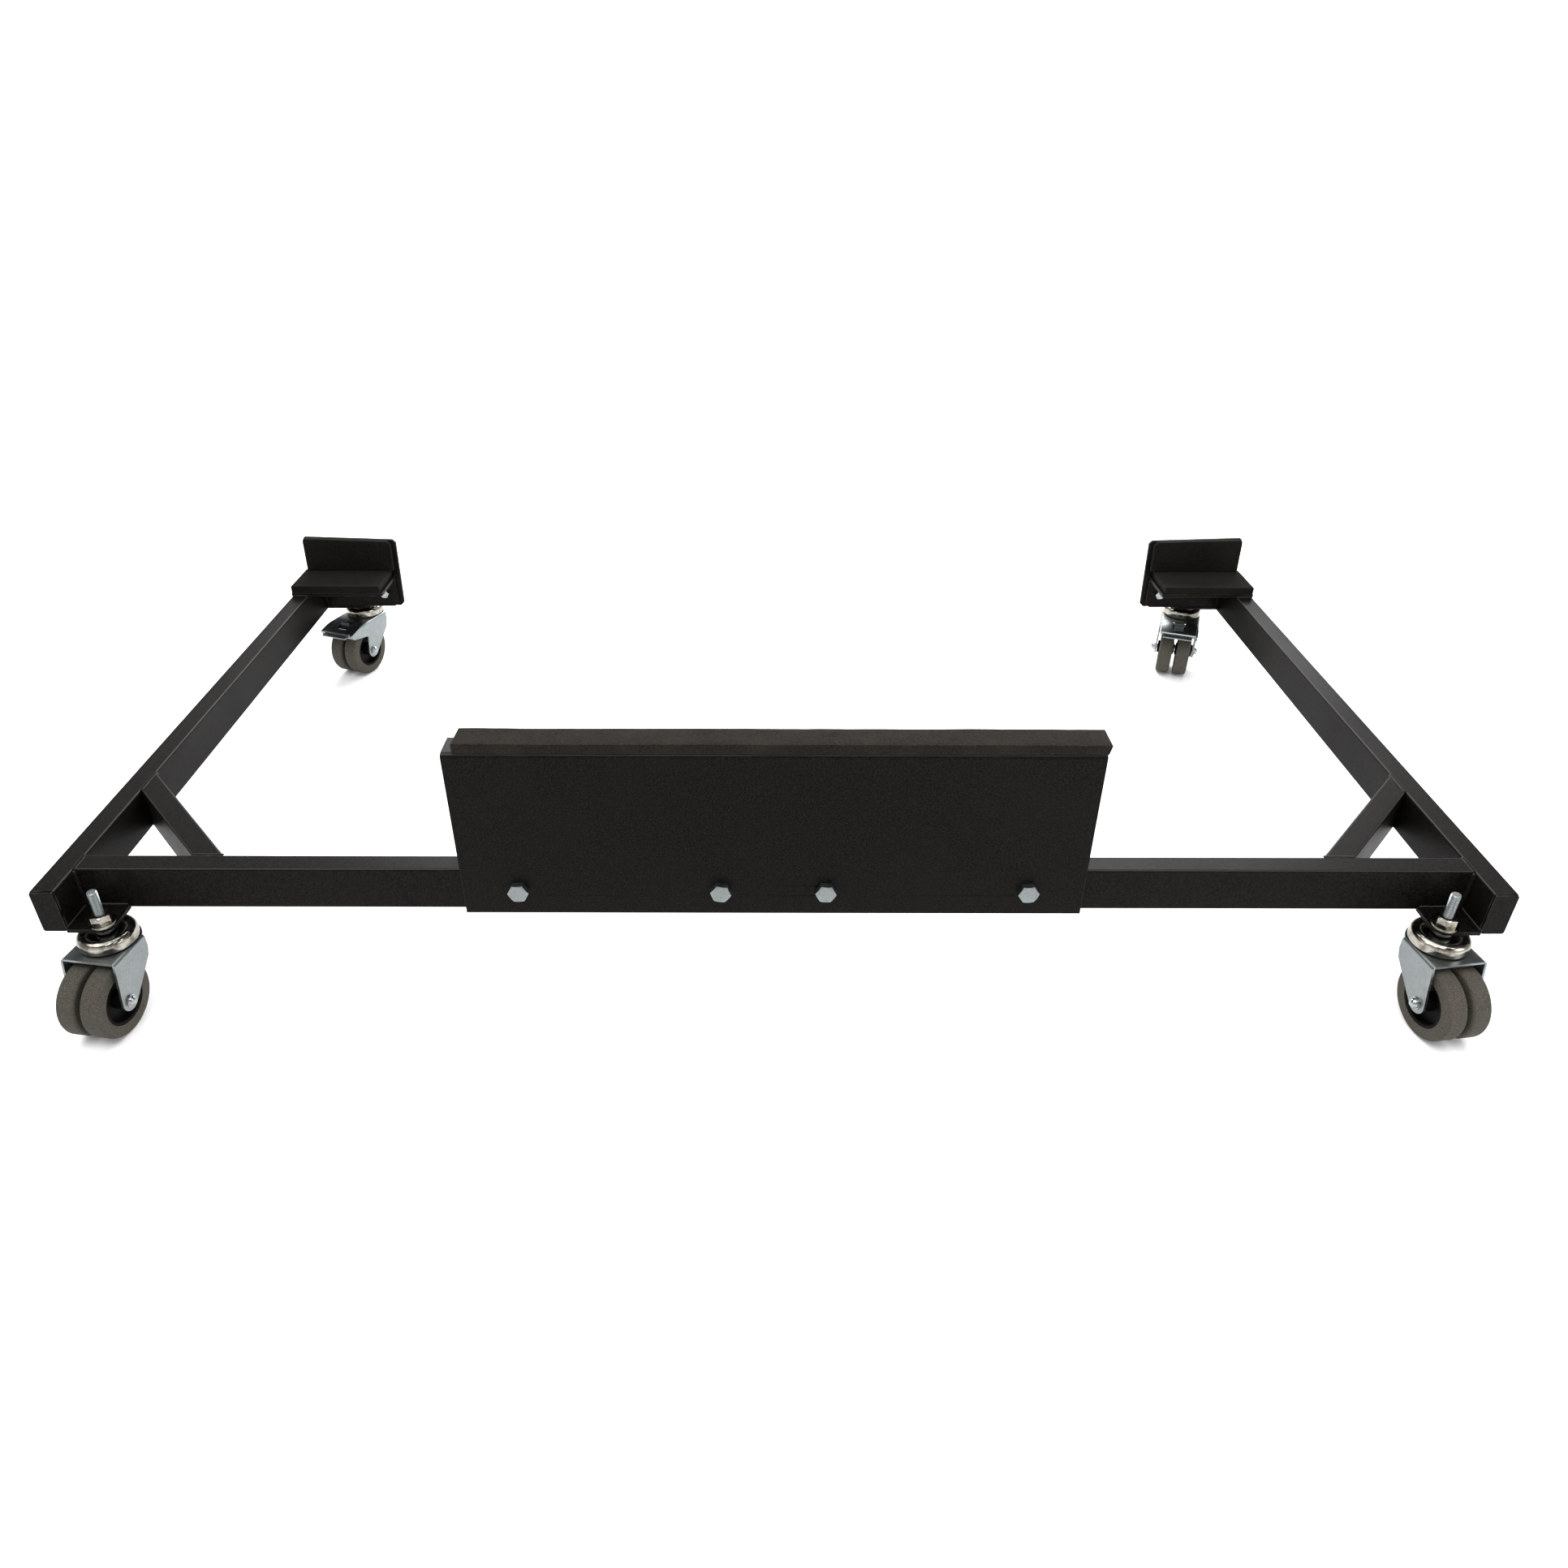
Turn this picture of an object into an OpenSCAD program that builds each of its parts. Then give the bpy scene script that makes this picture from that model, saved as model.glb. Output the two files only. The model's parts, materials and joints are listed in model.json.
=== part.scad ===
// U-shaped furniture dolly: a welded tube frame with padded brackets on four twin-wheel castors.
// Millimetres. X runs across the frame, Y from the crossbar to the open rear, Z up from the floor.

/* [Frame] */
// Overall width across the two side arms
frame_w = 1484; // [1400:2:1600]
// Length of a side arm, its front end plate included
arm_l = 803; // [760:1:900]
// How far the arms run ahead of the crossbar
arm_overhang = 39; // [36:1:45]
// Width of the rectangular tube
tube_w = 25; // [20:1:30]
// Height of the rectangular tube
tube_h = 50; // [46:1:60]
// Wall of the rectangular tube
tube_wall = 2; // [1.5:0.5:2]
// Outside corner radius of the rectangular tube
tube_corner = 2.5; // [2.5:0.5:4]
// Reach of a corner brace along the crossbar
brace_reach_x = 111; // [90:1:150]
// Reach of a corner brace along the arm
brace_reach_y = 124; // [90:1:150]
// Thickness of the plates that carry the castors
castor_plate_t = 4; // [3:0.5:5]

/* [Front bracket] */
// Length of the bracket along the crossbar
bracket_w = 640; // [600:10:700]
// Height of the bracket plate from its lower edge to the top of its lip
bracket_h = 193; // [150:1:220]
// Drop of the bracket plate below the tube
bracket_drop = 2.8; // [0:0.1:3]
// Thickness of the bracket plate
bracket_t = 4; // [3:0.5:5]
// Depth of the lip, front face to rear edge
lip_d = 33; // [28:1:45]
// Thickness of the foam strip on the lip
lip_foam_t = 11; // [6:1:16]
// Distance between the two outer bolts
bolt_pitch_outer = 524; // [400:2:560]
// Distance between the two inner bolts
bolt_pitch_inner = 108; // [60:2:200]

/* [Rear brackets] */
// Length of a rear angle along X
angle_l = 140; // [125:1:160]
// Depth of the shelf, front edge to the back of the leg
shelf_d = 72; // [60:1:90]
// Thickness of the angle and of the back plate
angle_t = 5; // [4:0.5:6]
// Height of the back plate
back_h = 111; // [90:1:140]
// Tilt of the back plate about its bolt, the outer end up
back_tilt = 1.8; // [0:0.2:2.4]
// Thickness of the foam on the shelf
shelf_foam_t = 11; // [6:1:14]
// Thickness of the foam on the back plate
back_foam_t = 8; // [5:1:10]

/* [Castors] */
// Wheel diameter
wheel_d = 80; // [76:1:82]
// Height of the castor from the floor to the plate that it hangs from
castor_h = 108; // [107:0.5:112]
// Horizontal distance from the swivel axis to the axle
trail = 32.5; // [30:0.5:34]
// Width over the fork
fork_w = 60.5; // [60:0.5:64]
// Swivel angle of the two front castors at rest, mirrored from side to side
swivel_front = 9; // [0:1:30]
// Swivel angle of the two rear castors at rest
swivel_rear = -20; // [-30:1:0]
// Diameter of the threaded stem
stem_d = 10; // [8:1:12]
// Length of the threaded stem above the castor plate
stem_l = 40; // [30:1:44]

/* [Hidden] */
$fn = 96;

LEFT = -1;
RIGHT = 1;
FRONT_LEFT = 0;
FRONT_RIGHT = 1;
REAR_LEFT = 2;
REAR_RIGHT = 3;
CASTOR_IDS = [FRONT_LEFT, FRONT_RIGHT, REAR_LEFT, REAR_RIGHT];
// Wheel a is on the bolt-head side of a castor, wheel b on its nut side
WHEEL_A = 1;
WHEEL_B = -1;

// Colours
frame_black = [0.06, 0.06, 0.06];
foam_black = [0.12, 0.10, 0.09];
zinc = [0.72, 0.76, 0.78];
nickel = [0.80, 0.78, 0.72];
tyre_grey = [0.42, 0.39, 0.37];
hub_black = [0.08, 0.08, 0.08];

// Frame: the crossbar's front face is put so that the footprint is centred on the origin
bar_y = -358.2;
arm_x = frame_w / 2 - tube_w;
arm_front_y = bar_y - arm_overhang;
arm_rear_y = arm_front_y + arm_l;
tube_z = castor_h;
tube_top = tube_z + tube_h;
end_plate_t = 2.5;
end_plate_inset = 0.6;
small = 1;
bolt_fit = 0.05;

// Front bracket
bracket_z = tube_z - bracket_drop;
bracket_top = bracket_z + bracket_h;
bend_r = 5;
bolt_x = [-bolt_pitch_outer / 2, -bolt_pitch_inner / 2, bolt_pitch_inner / 2, bolt_pitch_outer / 2];
bolt_turn = [2, -9, -3, 4];
bolt_z = tube_z + 27;
m12_r = 6;
m12_af = 19;
m12_head = 7.5;
m12_nut = 10;
m12_spare = 4;
bolt_hole_r = 6.5;
// A hexagon's chamfer: radius of the flat top to the width across flats, and its slope
chamfer_ratio = 0.475;
chamfer_angle = 30;
foam_left_gap = 11;
foam_right_over = 3;
foam_front_gap = 0.5;
foam_press = 0.5;

// Rear brackets
angle_x = frame_w / 2 - angle_l;
leg_y = arm_rear_y;
plate_y = leg_y + angle_t;
back_w = 144;
back_gap = 3;
back_x = frame_w / 2 - back_gap - back_w;
back_clip = 5;
outer_clip = 2;
leg_clip = 7;
shelf_foam_inset = 3.5;
back_foam_x = angle_x;
back_foam_w = 136;
back_foam_drop = 0.3;
rear_bolt_x = angle_x + 20;
rear_bolt_z = tube_z + 27;
m8_r = 4;
m8_af = 13;
m8_head = 5.5;
m8_nut = 6.5;
m8_spare = 2;
m8_hole_r = 4.3;

// Castor positions: swivel axis and swivel angle at rest
stem_x_front = arm_x - 32;
stem_y_front = bar_y - 29.5;
stem_x_rear = frame_w / 2 - 72;
stem_y_rear = arm_rear_y + 28;
// The rear castors are not quite mirror images: the right one stands a little further out
stem_shift = [0, 4];
CASTORS = [
    [-stem_x_front, stem_y_front, -swivel_front],
    [stem_x_front, stem_y_front, swivel_front],
    [-stem_x_rear - stem_shift[0], stem_y_rear, swivel_rear],
    [stem_x_rear + stem_shift[1], stem_y_rear, swivel_rear]
];
front_plate_w = 46;
front_plate_d = 41;
front_plate_clip = 9;
rear_plate_x = stem_x_rear - 20;
rear_plate_d = 48;
rear_plate_clip = 10;
stem_r = stem_d / 2;
stem_hole_r = stem_r + 0.4;
stem_chamfer = 1;

// Castor parts, heights above the floor
wheel_r = wheel_d / 2;
fork_top = castor_h - 18;
sheet_t = 2.5;
fork_bend_r = 3.5;
fork_front = 35.8;
fork_rear = 12.5;
leg_waist = [3, 66];
leg_shoulder_z = 76;
leg_tip_r = 11;
cap_ring_r = 22.7;
cap_tube_r = 6.3;
cap_skirt_t = 2.1;
cap_skirt_z = 91.8;
cap_z = castor_h - 10;
cap_hollow_r = 4.2;
cap_mouth_r = [18.5, 25.5];
cap_mouth_top = cap_z - 3;
cap_web_t = 2;
cap_web_z = cap_z + 1.5;
cap_bore_r = stem_r + 0.1;
ball_r = 4;
ball_count = 12;
ball_z = cap_z + 0.05;
race_r = [20.2, 25.1];
race_top = ball_z - ball_r - 0.1;
neck_r = 10;
kingpin_head_r = 11;
kingpin_head_t = 3;
king_gap = 0.1;
king_fit = 0.06;
nut_flange_r = 13;
nut_flange_t = 2.5;
nut_h = 12;
nut_af = 18;

// Wheels and axle
axle_r = 4;
axle_fit = 0.06;
axle_head_r = 6.5;
axle_flange_t = 1.5;
axle_head_h = 6;
axle_nut_h = 7;
axle_end = 4;
tyre_inner_r = 27;
tyre_in = 3;
tyre_out = 23.5;
tyre_round = 3.5;
hub_in = 1;
hub_out = fork_w / 2 - sheet_t - 0.8;
hub_boss_r = 10;
hub_rim_in = tyre_in + 1;
hub_rim_out = tyre_out - 1;
hub_web = [11, 15];
hub_rim_t = 3;
spacer_r = 7;
spacer_half = 0.8;

// Brake on the rear castors: points are [distance along the trail, height]
ear_root = [fork_front - 5, 66];
ear_points = [[43.8, 68.7], [73, 75.2], [76, 83.5], [63.5, 86.8], [50, fork_top]];
ear_reach = 90;
brake_pivot = [35, 83];
pin_r = 2;
pin_fit = 0.08;
pedal_gap = 0.75;
pedal_w = fork_w - 2 * sheet_t - 2 * pedal_gap;
pedal_t = 2;
pedal_top = [[36.8, 90.2], [50, 89.2], [63, 86], [75, 83]];
pedal_lip = [[78.4, 86.6], [79.8, 84.9], [76.4, 81]];
lower_lip = [[67.5, 84.5], [66, 82], [74, 79.8], [84, 79], [84.5, 80.8], [75, 81.6]];
lower_lip_w = 44;
cheek = [[31, 79.5], [33, 78], [38, 78.5], [52, 84], [52, 88], [37, 89], [35.5, 86.3], [31, 86.3]];
window_w = 19;
window_y = [40, 64];
window_z = [80, 92];
shoe_w = 42;
shoe = [[57, 74.4], [63, 70.2], [63, 85], [57, 86.5]];
spring_w = 15;
spring_t = 1.2;
spring_start = 12;
spring_tab = 53;
spring_end = 61;
spring_drop = 0.4;
spring_rise = 5.2;
spring_fall = 2.1;

// ---------- helpers ----------

// Draws a right-hand piece on the chosen side
module on_side(side) {
    mirror([side == LEFT ? 1 : 0, 0, 0]) children();
}

// Puts a castor piece, drawn round its own swivel axis, in its place on the frame
module at_castor(id) {
    translate([CASTORS[id][0], CASTORS[id][1], 0]) rotate([0, 0, CASTORS[id][2]]) children();
}

// Extrudes a side outline (distance along the trail, height) across the castor
module across(width) {
    rotate([90, 0, -90]) linear_extrude(height = width, center = true) children();
}

// Turns a piece drawn along Z so that it lies along +X
module along_x() {
    rotate([0, 90, 0]) children();
}

// Turns a piece drawn along Z so that it points to the front, -Y
module to_front() {
    rotate([90, 0, 0]) children();
}

// Rectangle from the origin with round corners
module rounded_rect(width, height, r) {
    translate([r, 0]) square([width - 2 * r, height]);
    translate([0, r]) square([width, height - 2 * r]);
    for (x = [r, width - r], y = [r, height - r]) translate([x, y]) circle(r = r);
}

// Section of the rectangular tube
module tube_section() {
    difference() {
        rounded_rect(tube_w, tube_h, tube_corner);
        translate([tube_wall, tube_wall])
            rounded_rect(tube_w - 2 * tube_wall, tube_h - 2 * tube_wall, tube_corner - tube_wall);
    }
}

// Extrudes a section (to the side, up) along +X, its width towards +Y
module extrude_x(length) {
    rotate([90, 0, 90]) linear_extrude(height = length) children();
}

// Extrudes a section (to the side, up) along +Y, its width towards +X
module extrude_y(length) {
    translate([0, length, 0]) rotate([90, 0, 0]) linear_extrude(height = length) children();
}

// Hexagonal prism by its width across flats
module hex(af, height) {
    cylinder(h = height, r = af / sqrt(3), $fn = 6);
}

// Hexagonal bolt head or nut with its outer corners chamfered
module chamfered_hex(af, height) {
    top_r = af * chamfer_ratio;
    intersection() {
        hex(af, height);
        cylinder(h = height, r1 = top_r + height / tan(chamfer_angle), r2 = top_r);
    }
}

// Tangent point on a circle from an outside point, on the side given by turn (1 or -1)
function tangent_point(from, centre, r, turn) =
    let (
        away = from - centre,
        heading = atan2(away[1], away[0]) + turn * acos(r / norm(away))
    )
    centre + r * [cos(heading), sin(heading)];

// ---------- welded frame ----------

module side_arm(side) {
    color(frame_black) on_side(side) translate([arm_x, arm_front_y + end_plate_t, tube_z])
        extrude_y(arm_l - end_plate_t) tube_section();
}

module arm_end_plates() {
    color(frame_black) for (side = [LEFT, RIGHT])
        on_side(side) translate([arm_x, arm_front_y, tube_z])
            extrude_y(end_plate_t) translate([end_plate_inset, end_plate_inset])
                rounded_rect(tube_w - 2 * end_plate_inset, tube_h - 2 * end_plate_inset, tube_corner);
}

module crossbar() {
    color(frame_black) difference() {
        translate([-arm_x, bar_y, tube_z]) extrude_x(2 * arm_x) tube_section();
        for (x = bolt_x)
            translate([x, bar_y + tube_w + small, bolt_z]) to_front()
                cylinder(h = tube_w + 2 * small, r = bolt_hole_r);
    }
}

// Tube across a corner, mitred against the arm and the crossbar
module brace(side) {
    heading = atan2(brace_reach_y, -brace_reach_x);
    inner_l = norm([brace_reach_x, brace_reach_y]);
    spare = 2 * tube_w;
    color(frame_black) on_side(side) translate([arm_x, bar_y + tube_w, tube_z]) mirror([1, 0, 0])
        intersection() {
            translate([brace_reach_x, 0, 0]) rotate([0, 0, heading])
                translate([-spare, -tube_w, 0]) extrude_x(inner_l + 2 * spare) tube_section();
            translate([0, 0, -small])
                cube([inner_l + spare, inner_l + spare, tube_h + 2 * small]);
        }
}

module castor_plate_front(side) {
    color(frame_black) on_side(side) difference() {
        translate([arm_x, bar_y, tube_z]) linear_extrude(height = castor_plate_t) polygon([
            [0, 0], [0, -front_plate_d], [front_plate_clip - front_plate_w, -front_plate_d],
            [-front_plate_w, front_plate_clip - front_plate_d], [-front_plate_w, 0]
        ]);
        translate([stem_x_front, stem_y_front, tube_z - small])
            cylinder(h = castor_plate_t + 2 * small, r = stem_hole_r);
    }
}

module castor_plate_rear(side) {
    outer_x = frame_w / 2;
    color(frame_black) on_side(side) difference() {
        translate([0, leg_y, tube_z]) linear_extrude(height = castor_plate_t) polygon([
            [rear_plate_x, 0], [outer_x, 0], [outer_x, rear_plate_d - rear_plate_clip],
            [outer_x - rear_plate_clip, rear_plate_d], [rear_plate_x + rear_plate_clip, rear_plate_d],
            [rear_plate_x, rear_plate_d - rear_plate_clip]
        ]);
        translate([stem_x_rear + stem_shift[side == LEFT ? 0 : 1], stem_y_rear, tube_z - small])
            cylinder(h = castor_plate_t + 2 * small, r = stem_hole_r);
    }
}

// ---------- front bracket ----------

// Bent plate in side view, Y to the rear and Z up, with its bend at the top front
module bracket_outline() {
    inner_r = bend_r - bracket_t;
    difference() {
        union() {
            translate([-bracket_t, bracket_z]) square([bracket_t, bracket_h - bend_r]);
            translate([bend_r - bracket_t, bracket_top - bracket_t])
                square([lip_d - bend_r, bracket_t]);
            translate([bend_r - bracket_t, bracket_top - bend_r]) circle(r = bend_r);
        }
        translate([bend_r - bracket_t, bracket_top - bend_r]) circle(r = inner_r);
        translate([0, bracket_z - small]) square([2 * bend_r, bracket_h - bend_r + small]);
        translate([bend_r - bracket_t, bracket_z - small])
            square([2 * bend_r, bracket_h - bracket_t + small]);
    }
}

module front_bracket() {
    color(frame_black) difference() {
        translate([-bracket_w / 2, bar_y, 0]) rotate([90, 0, 90])
            linear_extrude(height = bracket_w) bracket_outline();
        for (x = bolt_x)
            translate([x, bar_y + small, bolt_z]) to_front()
                cylinder(h = bracket_t + 2 * small, r = bolt_hole_r);
    }
}

module front_bracket_foam() {
    color(foam_black) translate([
        foam_left_gap - bracket_w / 2, bar_y - bracket_t + foam_front_gap, bracket_top
    ]) cube([bracket_w - foam_left_gap + foam_right_over, lip_d, lip_foam_t]);
}

module front_bracket_bolts() {
    shank_l = bracket_t + tube_w + m12_nut + m12_spare;
    color(zinc) for (i = [0 : len(bolt_x) - 1])
        translate([bolt_x[i], bar_y - bracket_t, bolt_z]) to_front() rotate([0, 0, bolt_turn[i]]) {
            chamfered_hex(m12_af, m12_head);
            translate([0, 0, -shank_l]) cylinder(h = shank_l + small, r = m12_r);
        }
}

module front_bracket_nuts() {
    color(zinc) for (x = bolt_x)
        translate([x, bar_y + tube_w, bolt_z]) rotate([-90, 0, 0]) difference() {
            chamfered_hex(m12_af, m12_nut);
            translate([0, 0, -small]) cylinder(h = m12_nut + 2 * small, r = m12_r + bolt_fit);
        }
}

// ---------- rear brackets ----------

// One corner of a plate: two points where it is clipped, or the corner itself where it isn't
function corner(at, along_in, along_out, clip) =
    clip > 0 ? [at + clip * along_in, at + clip * along_out] : [at];

// Rectangle from the origin with chosen corners clipped: lower inner, upper inner, upper outer
module clipped_plate(width, height, lower_in, upper_in, upper_out) {
    polygon(concat(
        [[width, 0]],
        corner([width, height], [0, -1], [-1, 0], upper_out),
        corner([0, height], [1, 0], [0, -1], upper_in),
        corner([0, 0], [0, 1], [1, 0], lower_in)
    ));
}

// Turns a right-hand piece about the rear bolt, its outer end up
module tilted() {
    translate([rear_bolt_x, 0, rear_bolt_z]) rotate([0, -back_tilt, 0])
        translate([-rear_bolt_x, 0, -rear_bolt_z]) children();
}

module rear_bolt_hole() {
    translate([rear_bolt_x, plate_y + angle_t + small, rear_bolt_z]) to_front()
        cylinder(h = 2 * angle_t + 2 * small, r = m8_hole_r);
}

// Angle welded on the end of an arm: shelf on the tube, leg down behind it
module rear_angle(side) {
    plate_top = tube_z + castor_plate_t;
    shelf_top = tube_top + angle_t;
    color(frame_black) on_side(side) difference() {
        union() {
            translate([angle_x, plate_y - shelf_d, tube_top]) cube([angle_l, shelf_d, angle_t]);
            translate([angle_x, plate_y, plate_top]) to_front() linear_extrude(height = angle_t)
                clipped_plate(angle_l, shelf_top - plate_top, leg_clip, 0, 0);
        }
        rear_bolt_hole();
    }
}

module rear_back_plate(side) {
    color(frame_black) on_side(side) difference() {
        tilted() translate([back_x, plate_y + angle_t, tube_z + castor_plate_t]) to_front()
            linear_extrude(height = angle_t)
            clipped_plate(back_w, back_h, back_clip, back_clip, outer_clip);
        rear_bolt_hole();
    }
}

// Foam on a shelf, with a strip at its back that the upright foam presses down a little
module rear_shelf_foam(side) {
    open_d = shelf_d - back_foam_t;
    inner_x = angle_x + shelf_foam_inset;
    color(foam_black) on_side(side) translate([inner_x, plate_y - shelf_d, tube_top + angle_t])
        extrude_x(angle_l - shelf_foam_inset) polygon([
            [0, 0], [shelf_d, 0], [shelf_d, shelf_foam_t - foam_press],
            [open_d, shelf_foam_t - foam_press], [open_d, shelf_foam_t], [0, shelf_foam_t]
        ]);
}

// Foam in front of a back plate, its lower end cut level where it stands on the shelf foam
module rear_back_foam(side) {
    bottom = tube_top + angle_t + shelf_foam_t;
    height = tube_z + castor_plate_t + back_h - back_foam_drop - bottom;
    color(foam_black) on_side(side) intersection() {
        tilted() translate([back_foam_x, plate_y, bottom - back_clip]) to_front()
            linear_extrude(height = back_foam_t)
            clipped_plate(back_foam_w, height + back_clip, 0, back_clip, outer_clip);
        translate([back_foam_x - back_clip, plate_y - back_foam_t - small, bottom])
            cube([back_foam_w + 2 * back_clip, back_foam_t + 2 * small, 2 * height]);
    }
}

module rear_bracket_bolts() {
    shank_l = 2 * angle_t + m8_nut + m8_spare;
    color(zinc) for (side = [LEFT, RIGHT])
        on_side(side) translate([rear_bolt_x, leg_y, rear_bolt_z]) to_front() {
            chamfered_hex(m8_af, m8_head);
            translate([0, 0, -shank_l]) cylinder(h = shank_l + small, r = m8_r);
        }
}

module rear_bracket_nuts() {
    color(zinc) for (side = [LEFT, RIGHT])
        on_side(side) translate([rear_bolt_x, plate_y + angle_t, rear_bolt_z]) rotate([-90, 0, 0])
            difference() {
                chamfered_hex(m8_af, m8_nut);
                translate([0, 0, -small]) cylinder(h = m8_nut + 2 * small, r = m8_r + bolt_fit);
            }
}

// ---------- castor swivel, fixed to the frame ----------

// Stem with its kingpin below and the neck that bears on the castor plate
module castor_stems() {
    kingpin_z = fork_top - sheet_t - king_gap - kingpin_head_t;
    stem_top = castor_h + castor_plate_t + stem_l;
    neck_z = cap_web_z + cap_web_t;
    color(zinc) for (id = CASTOR_IDS) at_castor(id) {
        translate([0, 0, kingpin_z]) cylinder(h = kingpin_head_t, r = kingpin_head_r);
        translate([0, 0, kingpin_z]) cylinder(h = stem_top - stem_chamfer - kingpin_z, r = stem_r);
        translate([0, 0, stem_top - stem_chamfer])
            cylinder(h = stem_chamfer, r1 = stem_r, r2 = stem_r - stem_chamfer);
        translate([0, 0, neck_z]) cylinder(h = castor_h - neck_z, r = neck_r);
    }
}

module castor_stem_nuts() {
    color(nickel) for (id = CASTOR_IDS) at_castor(id)
        translate([0, 0, castor_h + castor_plate_t]) difference() {
            union() {
                cylinder(h = nut_flange_t, r = nut_flange_r);
                chamfered_hex(nut_af, nut_h);
            }
            translate([0, 0, -small]) cylinder(h = nut_h + 2 * small, r = stem_r + bolt_fit);
        }
}

// Cap: a hollow ring over the balls with a skirt round it and a flat web inside it
module castor_caps() {
    color(nickel) for (id = CASTOR_IDS) at_castor(id) rotate_extrude() difference() {
        union() {
            translate([cap_ring_r, cap_z]) circle(r = cap_tube_r);
            translate([cap_bore_r, cap_web_z]) square([cap_ring_r - cap_bore_r, cap_web_t]);
            translate([cap_ring_r + cap_tube_r - cap_skirt_t, cap_skirt_z])
                square([cap_skirt_t, cap_z - cap_skirt_z]);
        }
        translate([cap_ring_r, cap_z]) circle(r = cap_hollow_r);
        translate([cap_mouth_r[0], fork_top])
            square([cap_mouth_r[1] - cap_mouth_r[0], cap_mouth_top - fork_top]);
    }
}

module castor_balls() {
    color(zinc) for (id = CASTOR_IDS) at_castor(id) for (i = [0 : ball_count - 1])
        rotate([0, 0, i * 360 / ball_count]) translate([cap_ring_r, 0, ball_z]) sphere(r = ball_r);
}

// ---------- castor fork ----------

// Front view of the bent sheet down to the leg tips, by half width, top and bend radius
module arch(half_w, top, r) {
    translate([-half_w, 0]) square([2 * half_w, top - r]);
    translate([r - half_w, 0]) square([2 * (half_w - r), top]);
    for (x = [r - half_w, half_w - r]) translate([x, top - r]) circle(r = r);
}

// Side view of a fork: a leg that narrows to a round tip at the axle
module fork_side(braked) {
    axle = [trail, wheel_r];
    front_top = [fork_front, fork_top];
    waist = [leg_waist[0] - fork_rear, leg_waist[1]];
    front_tip = tangent_point(front_top, axle, leg_tip_r, -1);
    rear_tip = tangent_point(waist, axle, leg_tip_r, 1);
    translate([-fork_w / 2, fork_top - fork_bend_r]) square([fork_w / 2, fork_bend_r]);
    polygon([
        front_top, front_tip, axle, rear_tip, waist, [-fork_rear, leg_shoulder_z],
        [-fork_rear, fork_top]
    ]);
    translate(axle) circle(r = leg_tip_r);
    if (braked) polygon(concat([[ear_root[0], fork_top], ear_root], ear_points));
}

// Top view of a fork: square in front, round behind
module fork_plan() {
    circle(r = fork_w / 2);
    translate([-fork_w / 2, -ear_reach]) square([fork_w, ear_reach + fork_rear]);
}

module fork(id) {
    braked = id >= REAR_LEFT;
    color(zinc) at_castor(id) {
        difference() {
            intersection() {
                translate([0, fork_w / 2, 0]) rotate([90, 0, 0])
                    linear_extrude(height = fork_w / 2 + ear_reach) difference() {
                        arch(fork_w / 2, fork_top, fork_bend_r);
                        translate([0, -small])
                            arch(fork_w / 2 - sheet_t, fork_top - sheet_t + small, fork_bend_r - sheet_t);
                    }
                across(fork_w + 2 * small) fork_side(braked);
                linear_extrude(height = fork_top + small) fork_plan();
            }
            // The ears of a braked fork have no sheet between them
            translate([sheet_t - fork_w / 2, -ear_reach, 0])
                cube([fork_w - 2 * sheet_t, ear_reach - fork_front, fork_top + small]);
            translate([0, 0, fork_top - 2 * sheet_t])
                cylinder(h = 3 * sheet_t, r = stem_r + king_fit);
            translate([-fork_w / 2 - small, -trail, wheel_r]) along_x()
                cylinder(h = fork_w + 2 * small, r = axle_r + bolt_fit);
            if (braked)
                translate([-fork_w / 2 - small, -brake_pivot[0], brake_pivot[1]]) along_x()
                    cylinder(h = fork_w + 2 * small, r = pin_r + bolt_fit);
        }
        // Lower race of the swivel
        translate([0, 0, fork_top]) rotate_extrude() translate([race_r[0], -small / 2])
            square([race_r[1] - race_r[0], race_top - fork_top + small / 2]);
    }
}

// ---------- axle and wheels ----------

// Low dome, its flat side down
module dome(r, height) {
    sphere_r = (r * r + height * height) / (2 * height);
    intersection() {
        translate([0, 0, height - sphere_r]) sphere(r = sphere_r);
        cylinder(h = height, r = r);
    }
}

// Axle bolt, its domed nut and the washer that keeps the two wheels apart
module axle(id) {
    shaft_x = fork_w / 2 + axle_end;
    color(zinc) at_castor(id) translate([0, -trail, wheel_r]) {
        translate([fork_w / 2, 0, 0]) along_x() axle_head(axle_head_h);
        translate([-shaft_x, 0, 0]) along_x() cylinder(h = shaft_x + fork_w / 2 + small, r = axle_r);
        difference() {
            mirror([1, 0, 0]) translate([fork_w / 2, 0, 0]) along_x() axle_head(axle_nut_h);
            translate([-shaft_x - bolt_fit, 0, 0]) along_x()
                cylinder(h = axle_end + 2 * small, r = axle_r + bolt_fit);
        }
        translate([-spacer_half, 0, 0]) along_x() difference() {
            cylinder(h = 2 * spacer_half, r = spacer_r);
            translate([0, 0, -small]) cylinder(h = 2 * spacer_half + 2 * small, r = axle_r + bolt_fit);
        }
    }
}

// Round flange with a dome on it
module axle_head(height) {
    cylinder(h = axle_flange_t, r = axle_head_r);
    translate([0, 0, axle_flange_t]) dome(axle_head_r - 1, height - axle_flange_t);
}

// Puts a wheel piece, drawn by radius and distance along the axle, on its side of a castor
module at_wheel(id, wheel) {
    at_castor(id) translate([0, -trail, wheel_r]) mirror([wheel == WHEEL_B ? 1 : 0, 0, 0])
        along_x() rotate_extrude() children();
}

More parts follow.
